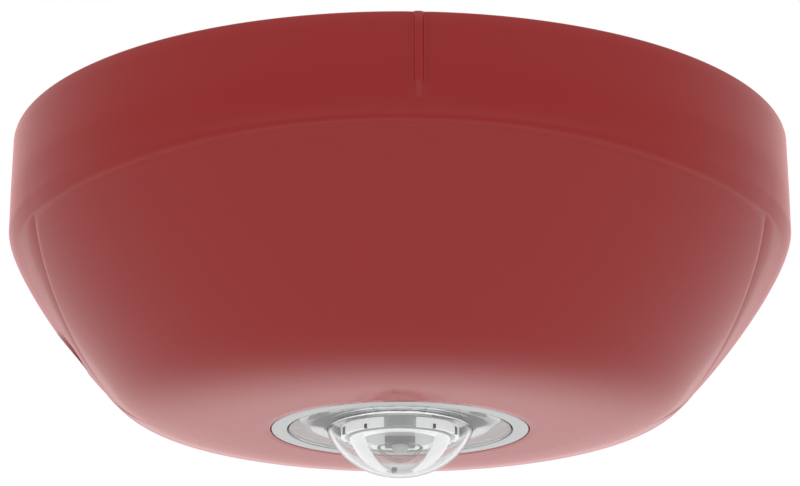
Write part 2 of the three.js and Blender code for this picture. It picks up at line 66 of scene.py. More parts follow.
# the bowl: a straight rim, a long curve down to the shoulder, and a fillet into the flat bottom
RIM_R = housing_high[0]
SKIRT_TOP = housing_high[2]
RIM_BOTTOM = -13.8
BOTTOM = housing_low[2]
WALL = 2.4
TOP_ROUND = 0.25
SHOULDER_R, SHOULDER_Z = 41.9, -36.1
SHOULDER_TILT = math.radians(43.8)  # from the vertical
FLAT_R = 24.0
RIM_PULL, SHOULDER_PULL = 3.0, 12.5  # handle lengths of the side's curve at its two ends
FILLET_PULL, FLAT_PULL = 4.7, 11.0  # and of the fillet's curve

# the smooth panels at the front and back, and the recessed wedge at each side
PANEL_TOP = -14.95
CORNER_Y, CORNER_Z = 26.0, -16.95
EDGE_SLOPE = 1.025  # how fast a wedge narrows from the corners down
EDGE_BEND = 0.012  # and how much faster with each millimetre
WEDGE_MIN = 0.8  # least half width of a wedge
EDGE_ROUND, EDGE_DROP = 0.65, 0.15  # width and depth of the rolled side edge of a panel
ARCH_ROUND, ARCH_DROP = 0.3, 0.02  # the same along its arch
DIP, DIP_AT, DIP_FADE = 0.13, 2.6, 6.5  # depth, place and fade of the soft hollow above the arch
DIP_GROWTH = 0.95  # how much deeper the hollow gets for each millimetre that the arch comes down
VALLEY_WIDTH, VALLEY_DEPTH = 2.4, 0.17  # the soft valley in a wedge along the panels' edges
SCOOP = 0.022  # depth of a wedge's hollow at its edges, as a share of its half width
SCOOP_REACH, SCOOP_FADE = 5.0, 8.0  # how far it runs on past a corner, and how fast it starts
MERGE_TOP, MERGE_BOTTOM = -37.0, -40.0  # panels and wedges run into one surface between these
PANEL_EDGE = [0.0, 0.07, 0.15, 0.25, 0.37, 0.5, 0.65, 0.9, 1.4, 2.2]  # mesh lines inside an edge

# the alignment rib on the rim
RIB_X, RIB_WIDTH, RIB_PROUD = 2.3, 1.0, -housing_low[1] - RIM_R
RIB_END, RIB_RUNOUT = -11.8, 2.3  # its lower end, and the height over which it fades out
RIB_EDGE, RIB_EDGE_IN = 0.4, 0.17  # width of its rounded edge, and how much of it is on the rib
GROOVE, GROOVE_AT, GROOVE_WIDTH = 0.14, 0.42, 0.38  # the soft groove along each side of it
RIB_LINES = (-0.25, -0.13, 0.0, 0.13, 0.26, 0.42, 0.6, 0.85, 1.2)  # mesh lines round its edge
RIB_CLEAR = 2.3  # the even mesh lines keep this far from it

# openings: the lens bore with its ledge and seat, and the horn's outlet
BORE_R, BORE_ROUND = 18.65, 0.12
LEDGE_R, LEDGE_Z, LEDGE_TOP = 14.8, -38.3, -36.5
SEAT_R = 20.8
OUTLET_Z, OUTLET_HALF_Y, OUTLET_HALF_Z = -29.3, 6.0, 3.1
OUTLET_FROM, OUTLET_TO = -60.0, -38.0  # the cut runs between these x

# the clear lens and the frosted ring round it
RING_R, RING_INNER, RING_ROUND = ring_high[0], 16.25, 0.15
LENS_TIP, LENS_BACK, LENS_FACE = lens_low[2], lens_high[2], -40.8
LIP_R, LIP_THICK, FLANGE_R = 17.8, 0.5, 16.0
CONE_R, CONE_FOOT, CONE_WALL, TIP_WALL = 10.6, 0.5, 0.6, 0.4
CONE_LEAN = (0.905, 0.39, 0.6)  # the rounded cone's shape, as dome() takes it

# the optic inside it: an upper ring that faces out, and a flat lower ring that faces down
UPPER_R, UPPER_TOP, UPPER_BOTTOM, UPPER_THICK = 8.5, -40.5, -41.9, 0.5
UPPER_GAP = 16.0  # half of the gap in the upper ring at each side, in degrees
LOWER_R, LOWER_INNER, LOWER_Z, LOWER_THICK = 7.2, 5.3, -42.1, 0.35
STEP_INNER, STEP_TOP = 6.9, -39.0
WING_HALF, WING_THICK = 43, 0.3  # half width in degrees of a wing
WINDOW_TIP, WINDOW_WALL = -46.9, 0.12
CAVITY_FOOT, CAVITY_TIP, CAVITY_WALL, CAVITY_LEAN = (3.3, -43.2), -45.4, 0.38, (1.0, 0.25, 0.5)
FLOOR_TOP = -41.6
GATE_CENTRE, GATE_R, GATE_TOP, GATE_MIDDLE, GATE_BOTTOM = (-0.8, -1.2), 0.42, -46.3, -46.7, -47.0

# the strobe LED: a square post with cut corners and a round dome on its face
LED_FACE, LED_HEIGHT, LED_HALF, LED_CUT, LED_DOME_R = -42.9, 4.5, 2.15, 0.25, 1.25

# ---------------------------------------------------------------- meshes


def new_object(name, vertices, faces, finish, smooth_deg=30):
    """A mesh object from points in millimetres, smooth except across edges sharper than smooth_deg."""
    mesh = bpy.data.meshes.new(name)
    mesh.from_pydata([tuple(MM * c for c in v) for v in vertices], [], faces)
    mesh.validate()
    outward = bmesh.new()
    outward.from_mesh(mesh)
    bmesh.ops.recalc_face_normals(outward, faces=outward.faces)
    outward.to_mesh(mesh)
    outward.free()
    mesh.shade_smooth()
    mesh.set_sharp_from_angle(angle=math.radians(smooth_deg))
    mesh.materials.append(finish)
    obj = bpy.data.objects.new(name, mesh)
    bpy.context.scene.collection.objects.link(obj)
    return obj


def grid_faces(rows, cols):
    """Quads of a grid whose columns and rows both close round."""
    faces = []
    for j in range(rows):
        k = (j + 1) % rows
        for i in range(cols):
            n = (i + 1) % cols
            faces.append((j * cols + i, j * cols + n, k * cols + n, k * cols + i))
    return faces


def turned(name, profile, finish, steps=96, centre=(0.0, 0.0)):
    """A closed [radius, z] profile turned about +Z. Points on the axis become single vertices."""
    vertices, faces, rings = [], [], []
    for r, z in profile:
        if r < ON_AXIS:
            rings.append([len(vertices)] * steps)
            vertices.append((centre[0], centre[1], z))
        else:
            rings.append(list(range(len(vertices), len(vertices) + steps)))
            for i in range(steps):
                a = 2 * math.pi * i / steps
                vertices.append((centre[0] + r * math.cos(a), centre[1] + r * math.sin(a), z))
    closed = profile[0][0] > ON_AXIS or profile[-1][0] > ON_AXIS
    for j in range(len(rings) if closed else len(rings) - 1):
        low, high = rings[j], rings[(j + 1) % len(rings)]
        for i in range(steps):
            n = (i + 1) % steps
            face = []
            for v in (low[i], low[n], high[n], high[i]):
                if v not in face:
                    face.append(v)
            if len(face) > 2:
                faces.append(face)
    return new_object(name, vertices, faces, finish)


def round_corners(profile, radius, steps=4):
    """A closed profile with each corner off the axis replaced by a small arc-like curve."""
    out = []
    points = [Vector(p) for p in profile]
    for i, p in enumerate(points):
        if p.x < ON_AXIS:
            out.append(tuple(p))
            continue
        before, after = points[i - 1], points[(i + 1) % len(points)]
        cut = min(radius, (before - p).length * 0.45, (after - p).length * 0.45)
        start = p + (before - p).normalized() * cut
        end = p + (after - p).normalized() * cut
        for k in range(steps + 1):
            t = k / steps
            out.append(tuple((1 - t) ** 2 * start + 2 * t * (1 - t) * p + t * t * end))
    return out


def bezier(points, t):
    """Points of a cubic Bezier curve at the shares t."""
    a, b, c, d = (np.array(p, float)[:, None] for p in points)
    return (1 - t) ** 3 * a + 3 * (1 - t) ** 2 * t * b + 3 * (1 - t) * t * t * c + t**3 * d


def smooth(t):
    """A soft step from 0 to 1, flat at both ends."""
    t = np.clip(t, 0, 1)
    return t * t * (3 - 2 * t)


# ---------------------------------------------------------------- materials
CLOUD_SCALE, GRAIN_SCALE, GRAIN_DISTANCE = 60.0, 900.0, 0.0002


def noise(tree, place, scale, detail):
    """A noise texture's level over the object's own coordinates."""
    texture = tree.nodes.new("ShaderNodeTexNoise")
    texture.inputs["Scale"].default_value = scale
    texture.inputs["Detail"].default_value = detail
    tree.links.new(place.outputs["Object"], texture.inputs["Vector"])
    return texture.outputs["Fac"]


def spread(tree, value, low, high):
    """A value from 0 to 1 spread over low to high."""
    node = tree.nodes.new("ShaderNodeMapRange")
    node.inputs["To Min"].default_value = low
    node.inputs["To Max"].default_value = high
    tree.links.new(value, node.inputs["Value"])
    return node.outputs["Result"]


def material(name, colour, roughness, metallic=0.0, grain=0.0, tint=0.02, **sockets):
    """A Principled material, slightly cloudy in its colour and roughness, with a fine surface grain."""
    mat = bpy.data.materials.new(name)
    mat.use_nodes = True
    tree = mat.node_tree
    shader = tree.nodes["Principled BSDF"]
    shader.inputs["Metallic"].default_value = metallic
    for socket, value in sockets.items():
        shader.inputs[socket.replace("_", " ")].default_value = value
    place = tree.nodes.new("ShaderNodeTexCoord")
    cloud = noise(tree, place, CLOUD_SCALE, 4.0)
    scale = tree.nodes.new("ShaderNodeVectorMath")
    scale.operation = "SCALE"
    scale.inputs[0].default_value = colour
    tree.links.new(spread(tree, cloud, 1 - tint, 1 + tint), scale.inputs["Scale"])
    tree.links.new(scale.outputs["Vector"], shader.inputs["Base Color"])
    tree.links.new(spread(tree, cloud, roughness * 0.85, roughness * 1.15), shader.inputs["Roughness"])
    if grain:
        bump = tree.nodes.new("ShaderNodeBump")
        bump.inputs["Strength"].default_value = grain
        bump.inputs["Distance"].default_value = GRAIN_DISTANCE
        tree.links.new(noise(tree, place, GRAIN_SCALE, 3.0), bump.inputs["Height"])
        tree.links.new(bump.outputs["Normal"], shader.inputs["Normal"])
    return mat


def with_painted_glow(name, colour, roughness, glow, grain=0.0):
    """A material with a painted glow, a little white light of its own that makes up for what the clear
    cover would darken.
    """
    white = (1.0, 1.0, 1.0, 1.0)
    return material(name, colour, roughness, grain=grain, Emission_Color=white, Emission_Strength=glow)


def facing_share(tree, start, end):
    """A soft step over how far the surface turns away, from 0 face on to 1 at its outline."""
    weight = tree.nodes.new("ShaderNodeLayerWeight")
    weight.inputs["Blend"].default_value = 0.5
    share = tree.nodes.new("ShaderNodeMapRange")
    share.interpolation_type = "SMOOTHSTEP"
    share.inputs["From Min"].default_value = start
    share.inputs["From Max"].default_value = end
    tree.links.new(weight.outputs["Facing"], share.inputs["Value"])
    return share.outputs["Result"]


def clear_wall(name, colour, edge_colour, covers, painted_haze_range, darken):
    """A clear wall with painted reflection and shade, as looked through at a slant: towards its outline
    it grows less clear and then darkens to its edge colour.

    Its cover goes between the two covers over the painted haze range, and its colour over the darken
    range.
    """
    mat = material(name, colour, 0.08)
    tree = mat.node_tree
    shader = tree.nodes["Principled BSDF"]
    tree.links.new(spread(tree, facing_share(tree, *painted_haze_range), *covers), shader.inputs["Alpha"])
    plain = shader.inputs["Base Color"].links[0].from_socket
    mix = tree.nodes.new("ShaderNodeMix")
    mix.data_type = "RGBA"
    tree.links.new(facing_share(tree, *darken), mix.inputs["Factor"])
    tree.links.new(plain, mix.inputs["A"])
    mix.inputs["B"].default_value = (*edge_colour, 1.0)
    tree.links.new(mix.outputs["Result"], shader.inputs["Base Color"])
    return mat


RED = material(
    "red_gloss",
    (0.275, 0.0033, 0.0024),
    0.10,
    grain=0.01,
    IOR=1.5,
    Sheen_Weight=0.5,
    Sheen_Roughness=0.3,
    Sheen_Tint=(1.0, 0.05, 0.04, 1.0),
)
RED_SATIN = material("red_satin", (0.24, 0.008, 0.006), 0.38, grain=0.25, IOR=1.5)
WHITE = material("white_gloss", (0.93, 0.93, 0.92), 0.2, grain=0.02)
FROST = material("frosted_ring", (0.52, 0.53, 0.525), 0.35, grain=0.1)
# painted glow: the board gives off a little white light for the shade that the clear cover casts on it
PALE_PAINTED_GLOW = with_painted_glow("pale_board", (0.80, 0.81, 0.81), 0.4, 0.18, grain=0.05)
CLEAR = material("clear_lens", (0.95, 0.96, 0.96), 0.02, tint=0.005, Transmission_Weight=1.0, IOR=1.5)
BLACK = material("black_plastic", (0.02, 0.02, 0.022), 0.4, grain=0.2)
CHIP = material("chip_epoxy", (0.015, 0.015, 0.017), 0.45, grain=0.3)
RUBBER = material("seal_rubber", (0.42, 0.10, 0.09), 0.6, grain=0.2)
IVORY = material("ivory_cover", (0.62, 0.60, 0.54), 0.42, grain=0.2)
BRASS = material("brass", (0.72, 0.52, 0.20), 0.28, metallic=1.0, grain=0.05)
STEEL = material("plated_steel", (0.62, 0.63, 0.64), 0.3, metallic=1.0, grain=0.05)
GREEN = material("solder_mask", (0.012, 0.12, 0.045), 0.35, grain=0.1)
CERAMIC = material("piezo_ceramic", (0.70, 0.68, 0.60), 0.5, grain=0.1)
SLEEVE = material("capacitor_sleeve", (0.010, 0.012, 0.05), 0.3, grain=0.03)
LED_GREY = material("led_package", (0.36, 0.36, 0.355), 0.4, grain=0.05)
# painted glow: the LED's dome gives off a little white light for the shade under the clear cover
LED_SILICONE_PAINTED_GLOW = with_painted_glow("led_silicone", (0.70, 0.70, 0.68), 0.25, 0.1)
# painted shade: this dark stands in for the shade inside the optic ring's slits; the gate mark near the
# tip uses it too
SLIT = material("optic_slit", (0.10, 0.012, 0.010), 0.3)
OPTIC_GREY = material("optic_grey", (0.62, 0.63, 0.63), 0.15)
# painted glow: the optic's floor plate gives off a little white light for the shade under the clear
# cover
OPTIC_FLOOR_PAINTED_GLOW = with_painted_glow("optic_floor_painted_glow", (0.6, 0.6, 0.6), 0.2, 0.12)
# painted glow: the optic's rings and side walls give off white light for the shade under the clear
# cover
OPTIC_WHITE_PAINTED_GLOW = with_painted_glow("optic_white_painted_glow", (0.95, 0.95, 0.95), 0.12, 0.32)
# painted reflection and shade: the window grows a grey haze and a dark outline as it turns away from
# face on, and the cavity a dark outline
WINDOW = clear_wall(
    "optic_window",
    (0.60, 0.59, 0.59),
    (0.10, 0.07, 0.07),
    covers=(0.03, 0.3),
    painted_haze_range=(0.4, 0.8),
    darken=(0.85, 1.0),
)
CAVITY = clear_wall(
    "optic_cavity",
    (0.05, 0.01, 0.01),
    (0.04, 0.008, 0.008),
    covers=(0.02, 1.0),
    painted_haze_range=(0.62, 0.82),
    darken=(0.6, 0.9),
)

# ---------------------------------------------------------------- outer housing

LEAN, DROP = math.sin(SHOULDER_TILT), math.cos(SHOULDER_TILT)
SIDE_CURVE = [
    (RIM_R, RIM_BOTTOM),
    (RIM_R, RIM_BOTTOM - RIM_PULL),
    (SHOULDER_R + SHOULDER_PULL * LEAN, SHOULDER_Z + SHOULDER_PULL * DROP),
    (SHOULDER_R, SHOULDER_Z),
]
FILLET_CURVE = [
    (SHOULDER_R, SHOULDER_Z),
    (SHOULDER_R - FILLET_PULL * LEAN, SHOULDER_Z - FILLET_PULL * DROP),
    (FLAT_R + FLAT_PULL, BOTTOM),
    (FLAT_R, BOTTOM),
]


def bowl_table(count=400):
    """The bowl's section from rim to flat bottom: distance along it, radius, z and outward normal."""
    t = np.linspace(0, 1, count)
    side, fillet = bezier(SIDE_CURVE, t), bezier(FILLET_CURVE, t)
    line = np.concatenate([side, fillet[:, 1:]], axis=1)
    step = np.gradient(line, axis=1)
    step /= np.linalg.norm(step, axis=0)
    length = np.concatenate([[0], np.cumsum(np.linalg.norm(np.diff(line, axis=1), axis=0))])
    return length, line[0], line[1], -step[1], step[0]


BOWL_LENGTH, BOWL_R, BOWL_Z, BOWL_NR, BOWL_NZ = bowl_table()


def bowl_at(length):
    """Radius, z and normal of the bowl at a distance along its section from the rim."""
    return [np.interp(length, BOWL_LENGTH, a) for a in (BOWL_R, BOWL_Z, BOWL_NR, BOWL_NZ)]


def length_at_z(z):
    """Distance along the bowl's section, from the rim, at a height."""
    return np.interp(-z, -BOWL_Z, BOWL_LENGTH)


def arch_z(x):
    """Height of a panel's top edge: a shallow arch, highest at the middle of the panel."""
    corner_x = math.sqrt(RIM_R**2 - CORNER_Y**2)
    return PANEL_TOP + (CORNER_Z - PANEL_TOP) * smooth(np.abs(x) / corner_x)


def wedge_half_width(z):
    """Half width in y of the recessed wedge at each side."""
    below = CORNER_Z - np.minimum(z, CORNER_Z)
    return np.clip(CORNER_Y - EDGE_SLOPE * below - EDGE_BEND * below**2, WEDGE_MIN, CORNER_Y)


def housing_columns():
    """Mesh lines: shares of a wedge's half width, and distances along the rim from a panel's edge.

    Returns the wedge's lines, the front panel's, the back panel's, and a panel's length along the rim.
    """
    near = PANEL_EDGE + [3.4, 5.0]
    close = [1 - v for v in (0.0, 0.006, 0.014, 0.026, 0.045, 0.075, 0.12)]
    wedge = [-v for v in close] + list(np.linspace(-0.8, 0.8, 23)) + list(reversed(close))
    span = 2 * RIM_R * math.acos(CORNER_Y / RIM_R)
    middle = list(np.arange(6.6, span - 6.0, 1.35))
    rib_at = span / 2 + RIB_X
    rib = [rib_at] + [rib_at + side * (RIB_WIDTH / 2 + d) for d in RIB_LINES for side in (-1, 1)]
    front = [m for m in middle if abs(m - rib_at) > RIB_CLEAR] + rib

    def panel(places):
        return near + sorted(places) + [span - v for v in reversed(near)]

    return wedge, panel(front), panel(middle), span


class HousingGrid:
    """The housing as one closed grid. Each row is a loop round the device, from the rim down and back.

    The columns are of four kinds, in order of azimuth: 0 the wedge on +X, 1 the back panel, 2 the
    wedge on -X and 3 the front panel. A column's share runs from -1 to 1 across a wedge, and from
    0 to 1 across a panel.
    """

    def __init__(self):
        wedge, front, back, span = housing_columns()
        columns = [(0, w) for w in wedge] + [(1, b / span) for b in back]
        columns += [(2, w) for w in wedge] + [(3, f / span) for f in front]
        self.kind = np.array([c[0] for c in columns])
        self.share = np.array([c[1] for c in columns], float)
        self.is_wedge = (self.kind == 0) | (self.kind == 2)
        self.rows = []
        self.straight = self.azimuth(RIM_R, CORNER_Z)
        # how far the section runs from the rim's lower end to each column's arch
        arch = np.where(self.is_wedge, CORNER_Z, arch_z(RIM_R * np.cos(self.straight)))
        self.arch_length = length_at_z(arch)
        self.corner_gap = np.where(self.is_wedge, 0.0, np.minimum(self.share, 1 - self.share) * span)

    def azimuth(self, r, z):
        """Each column's azimuth at a radius and height. The wedges narrow on their way down."""
        alpha = np.arcsin(np.clip(wedge_half_width(z) / r, 0, 0.95))
        in_wedge = np.where(self.kind == 0, 0.0, math.pi) + self.share * alpha
        in_panel = np.where(self.kind == 1, alpha, math.pi + alpha) + self.share * (math.pi - 2 * alpha)
        return np.where(self.is_wedge, in_wedge, in_panel)

    def add(self, r, z, phi):
        """Add one row, with a radius and height that each column has or that all share."""
        r, z = np.broadcast_to(r, phi.shape), np.broadcast_to(z, phi.shape)
        self.rows.append(np.stack([r * np.cos(phi), r * np.sin(phi), z], axis=1))

    def dip(self, gap):
        """Depth of the soft hollow that runs over a panel's arch, at a distance above it."""
        on_arch = np.where(self.is_wedge, self.share**2, 1.0)
        depth = DIP * on_arch * (1 + DIP_GROWTH * (self.arch_length - self.arch_length.min()))
        return depth * smooth(gap / DIP_AT) * (1 - smooth((gap - DIP_AT) / DIP_FADE))

    def rib(self):
        """How far each column stands proud at full height for the rib, less the groove beside it."""
        from_rib = np.abs(RIM_R * np.sin(self.straight + math.pi / 2) - RIB_X) - RIB_WIDTH / 2
        groove = GROOVE * np.exp(-(((from_rib - GROOVE_AT) / GROOVE_WIDTH) ** 2))
        proud = RIB_PROUD * (1 - smooth((from_rib + RIB_EDGE_IN) / RIB_EDGE))
        return np.where(self.kind == 3, proud - groove, 0.0)

    def add_rim(self):
        """The rim, from its rounded top edge down, with the rib fading out at its lower end."""
        rib = self.rib()

        def add_level(z, rib_share):
            hollow = self.dip(self.arch_length + z - RIM_BOTTOM)
            self.add(RIM_R + rib_share * rib - hollow, z, self.straight)

        for a in np.linspace(0, math.pi / 2, 5):
            lift = TOP_ROUND * (1 - math.sin(a))
            z = SKIRT_TOP - TOP_ROUND * (1 - math.cos(a))
            self.add(RIM_R - lift + rib * math.sin(a), z, self.straight)
        for z in (-2.2, -4.0, -6.0, -7.0, -8.0, -8.8):
            add_level(z, 1.0)
        for t in (1.0, 0.97, 0.84, 0.5, 0.16, 0.03, 0.0):
            add_level(RIB_END + RIB_RUNOUT * t, t)
        for z in (-12.3, -12.8, -13.3):
            add_level(z, 0.0)

    def add_bowl_row(self, length, inside):
        """One row at a distance along the section. Panel columns lie on the panel if inside is set."""
        r, z, nr, nz = bowl_at(length)
        phi = self.azimuth(r, z)
        half = wedge_half_width(z)
        lean = math.cos(math.atan(EDGE_SLOPE))
        arch_gap = length - self.arch_length
        above_arch = np.maximum(-arch_gap, 0)

        # on a panel: its side edges roll off, and its arch a little
        side_gap = (np.abs(r * np.sin(phi)) - half) * lean
        side_edge = np.clip(1 - side_gap / EDGE_ROUND, 0, 1)
        arch_edge = np.clip(1 - arch_gap / ARCH_ROUND, 0, 1)
        on_panel = -EDGE_DROP * side_edge**1.6 - ARCH_DROP * arch_edge**2

        # off it: the valley along a panel's edge, the wedge's own hollow and the one above the arch
        from_side = np.where(self.is_wedge, (1 - np.abs(self.share)) * half * lean, 0.0)
        valley_width = np.minimum(VALLEY_WIDTH, self.arch_length - 0.2)
        valley = np.clip(1 - np.hypot(from_side, above_arch) / valley_width, 0, 1)
        beside = np.where(self.is_wedge, smooth((CORNER_Z + 0.8 - z) / 1.6), 0.0)
        past_corner = np.exp(-((self.corner_gap / SCOOP_REACH) ** 2))
        across = np.where(self.is_wedge, np.abs(self.share), past_corner)
        scoop = SCOOP * half * across**2 * smooth((RIM_BOTTOM - 1.0 - z) / SCOOP_FADE)
        off_panel = -VALLEY_DEPTH * valley**2 * beside - scoop - self.dip(above_arch)

        fade = 1 - smooth((MERGE_TOP - z) / (MERGE_TOP - MERGE_BOTTOM))
        offset = np.where(~self.is_wedge & inside, on_panel, off_panel) * fade
        self.add(r + nr * offset, np.maximum(z + nz * offset, BOTTOM), phi)

    def add_bowl(self):
        """The strip between the rim and the arches, then the panels with a wedge at each side."""
        for t in (0.0, 0.12, 0.25, 0.4, 0.55, 0.7, 0.82, 0.91, 0.97, 1.0):
            self.add_bowl_row(self.arch_length * t, False)
        for below in PANEL_EDGE:
            self.add_bowl_row(self.arch_length + below, True)
        start = self.arch_length + PANEL_EDGE[-1]
        for t in np.linspace(0, 1, 52)[1:]:
            self.add_bowl_row(start + (BOWL_LENGTH[-1] - start) * t, True)

    def add_bottom(self):
        """The flat bottom and the lens bore, with its rounded edge, its ledge and the seat behind."""
        even = self.azimuth(FLAT_R, BOTTOM)
        for r in (22.0, 20.0):
            self.add(r, BOTTOM, even)
        for a in np.linspace(0, math.pi / 2, 4):
            rounded = BORE_ROUND * (1 - math.sin(a)), BORE_ROUND * (1 - math.cos(a))
            self.add(BORE_R + rounded[0], BOTTOM + rounded[1], even)
        seat = [(BORE_R, LEDGE_Z), (LEDGE_R, LEDGE_Z), (LEDGE_R, LEDGE_TOP), (SEAT_R, LEDGE_TOP)]
        for r, z in seat + [(SEAT_R, BOTTOM + WALL)]:
            self.add(r, z, even)

    def add_inner_wall(self):
        """The inner wall, back up to the skirt's top."""
        for t in np.linspace(1, 0, 16):
            r, z, nr, nz = bowl_at(BOWL_LENGTH[-1] * t)
            self.add(r - nr * WALL, z - nz * WALL, self.azimuth(r, z))
        for z in (-8.0, SKIRT_TOP - TOP_ROUND):
            self.add(RIM_R - WALL, z, self.straight)
        self.add(RIM_R - WALL + TOP_ROUND, SKIRT_TOP, self.straight)


def build_housing():
    """The red bowl in one piece."""
    grid = HousingGrid()
    grid.add_rim()
    grid.add_bowl()
    grid.add_bottom()
    grid.add_inner_wall()
    faces = grid_faces(len(grid.rows), len(grid.kind))
    return new_object("housing_shell", np.concatenate(grid.rows), faces, RED, 40)


def cut_outlet(bowl):
    """An oval hole through the bowl's side, into the horn's duct."""
    steps = 64
    ring = [2 * math.pi * i / steps for i in range(steps)]
    oval = [(OUTLET_HALF_Y * math.cos(a), OUTLET_Z + OUTLET_HALF_Z * math.sin(a)) for a in ring]
    points = [(x, y, z) for x in (OUTLET_FROM, OUTLET_TO) for y, z in oval]
    sides = [(i, (i + 1) % steps, steps + (i + 1) % steps, steps + i) for i in range(steps)]
    ends = [tuple(reversed(range(steps))), tuple(range(steps, 2 * steps))]
    cutter = new_object("outlet_cutter", points, sides + ends, RED)
    cutting = bowl.modifiers.new("outlet", "BOOLEAN")
    cutting.operation = "DIFFERENCE"
    cutting.solver = "EXACT"
    cutting.object = cutter
    depsgraph = bpy.context.evaluated_depsgraph_get()
    made = bpy.data.meshes.new_from_object(bowl.evaluated_get(depsgraph))
    bowl.modifiers.clear()
    bowl.data = made
    bpy.data.objects.remove(cutter)


housing = build_housing()
cut_outlet(housing)
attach(housing, "head")
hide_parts("outer_housing")

# ---------------------------------------------------------------- lens


def dome(foot, tip, lean=CONE_LEAN):
    """A rounded cone's section from its foot [radius, z] to its tip on the axis.

    lean places the curve's two handles: the first one's share of the foot's radius and of the height,
    and the second one's share of the radius, level with the tip.
    """
    drop = foot[1] - tip
    curve = [foot, (lean[0] * foot[0], foot[1] - lean[1] * drop), (lean[2] * foot[0], tip), (0, tip)]
    return [tuple(p) for p in bezier(curve, np.linspace(0, 1, 40)).T]


def build_lens():
    """A thin clear disc with a rounded cone in the middle, open behind."""
    lip_bottom = LENS_BACK - LIP_THICK
    outside = [(LIP_R, LENS_BACK), (LIP_R, lip_bottom), (FLANGE_R, lip_bottom), (FLANGE_R, LENS_FACE)]
    outside += [(CONE_R + CONE_FOOT, LENS_FACE)] + dome((CONE_R, LENS_FACE - 0.1), LENS_TIP)
    inner_r = CONE_R - CONE_WALL
    inside = [(inner_r, LENS_BACK)] + dome((inner_r, LENS_FACE), LENS_TIP + TIP_WALL)
    return turned("lens_clear", list(reversed(inside)) + outside, CLEAR, 160)


lens = build_lens()
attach(lens, "head")
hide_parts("lens")

# ---------------------------------------------------------------- optic under the clear cone


def dome_shell(name, foot, tip, wall, finish, steps, lean=CONE_LEAN):
    """A closed dome-shaped shell of an even wall, open at its foot."""
    outside = dome(foot, tip, lean)
    inside = dome((foot[0] - wall, foot[1]), tip + wall, lean)
    return turned(name, list(reversed(inside)) + outside, finish, steps)


def arc_blocks(name, blocks, finish, steps):
    """Closed curved blocks in one mesh.

    Each block is [outer profile, inner profile, from, to], in degrees from the front.
    """
    vertices, faces = [], []
    for outer, inner, start, end in blocks:
        loop = list(outer) + list(reversed(inner))
        first, count = len(vertices), len(loop)
        for i in range(steps + 1):
            a = math.radians(start + (end - start) * i / steps - 90)
            vertices += [(r * math.cos(a), r * math.sin(a), z) for r, z in loop]
        for i in range(steps):
            for k in range(count):
                low, high, n = first + count * i, first + count * (i + 1), (k + 1) % count
                faces.append((low + k, high + k, high + n, low + n))
        last, half = first + count * steps, len(outer)
        for k in range(half - 1):
            faces.append((first + k, first + k + 1, first + count - 2 - k, first + count - 1 - k))
            faces.append((last + k + 1, last + k, last + count - 1 - k, last + count - 2 - k))
    return new_object(name, vertices, faces, finish)


def band(inner, outer, bottom, top, start, end):
    """A plain curved bar for arc_blocks."""
    return [(outer, bottom), (outer, top)], [(inner, bottom), (inner, top)], start, end


def build_upper_ring():
    """Two bright bars with a painted glow round the front and the back, with a gap between them at each
    side.
    """
    ends = ((UPPER_GAP, 180 - UPPER_GAP), (180 + UPPER_GAP, 360 - UPPER_GAP))
    bars = [band(UPPER_R - UPPER_THICK, UPPER_R, UPPER_BOTTOM, UPPER_TOP, *e) for e in ends]
    return arc_blocks("optic_ring_upper", bars, OPTIC_WHITE_PAINTED_GLOW, 60)


def build_slits():
    """Dark blocks laid on the upper ring's lower edge, painted shade that stands in for slits: a low
    and a high one each way from its two middles.
    """
    slits = []
    inner, outer, bottom = UPPER_R - 0.3, UPPER_R + 0.04, UPPER_BOTTOM - 0.02
    for side in (0, 180):
        for turn, half_width, height in ((34, 1.6, 0.6), (68, 3.2, 1.0)):
            for middle in (side - turn, side + turn):
                start, end = middle - half_width, middle + half_width
                slits.append(band(inner, outer, bottom, UPPER_BOTTOM + height, start, end))
    return arc_blocks("optic_slits", slits, SLIT, 3)


def build_wings():
    """Two bright curved walls with a painted glow, at the left and right, just inside the clear cone:
    painted light that stands in for the bright bands the clear cone shows at its sides.
    """
    outer = dome((LOWER_R, LOWER_Z - 0.02), LENS_TIP + 0.45)[:32]
    inner = [(r - WING_THICK, z + 0.02) for r, z in outer]
    wings = [(outer, inner, middle - WING_HALF, middle + WING_HALF) for middle in (90, 270)]
    return arc_blocks("optic_wings", wings, OPTIC_WHITE_PAINTED_GLOW, 32)


def build_step():
    """The grey step that joins the two bright rings."""
    behind_upper, over_lower = UPPER_R - UPPER_THICK - 0.05, LOWER_R + 0.15
    profile = [
        (STEP_INNER, STEP_TOP),
        (behind_upper, STEP_TOP),
        (behind_upper, UPPER_BOTTOM + 0.15),
        (over_lower, UPPER_BOTTOM + 0.15),
        (over_lower, LOWER_Z + 0.1),
        (STEP_INNER, LOWER_Z + 0.1),
    ]
    return turned("optic_step", round_corners(profile, 0.1), OPTIC_GREY, 128)


def washer(inner, outer, bottom, top):
    """A flat ring's section."""
    return [(inner, bottom), (outer, bottom), (outer, top), (inner, top)]


def build_gate_mark():
    """The small round mark that moulding leaves near the tip."""
    side = [(GATE_R - 0.06, GATE_TOP), (GATE_R, GATE_MIDDLE), (GATE_R - 0.06, GATE_BOTTOM)]
    profile = [(0, GATE_TOP)] + side + [(0, GATE_BOTTOM)]
    return turned("optic_gate_mark", round_corners(profile, 0.1), SLIT, 32, centre=GATE_CENTRE)


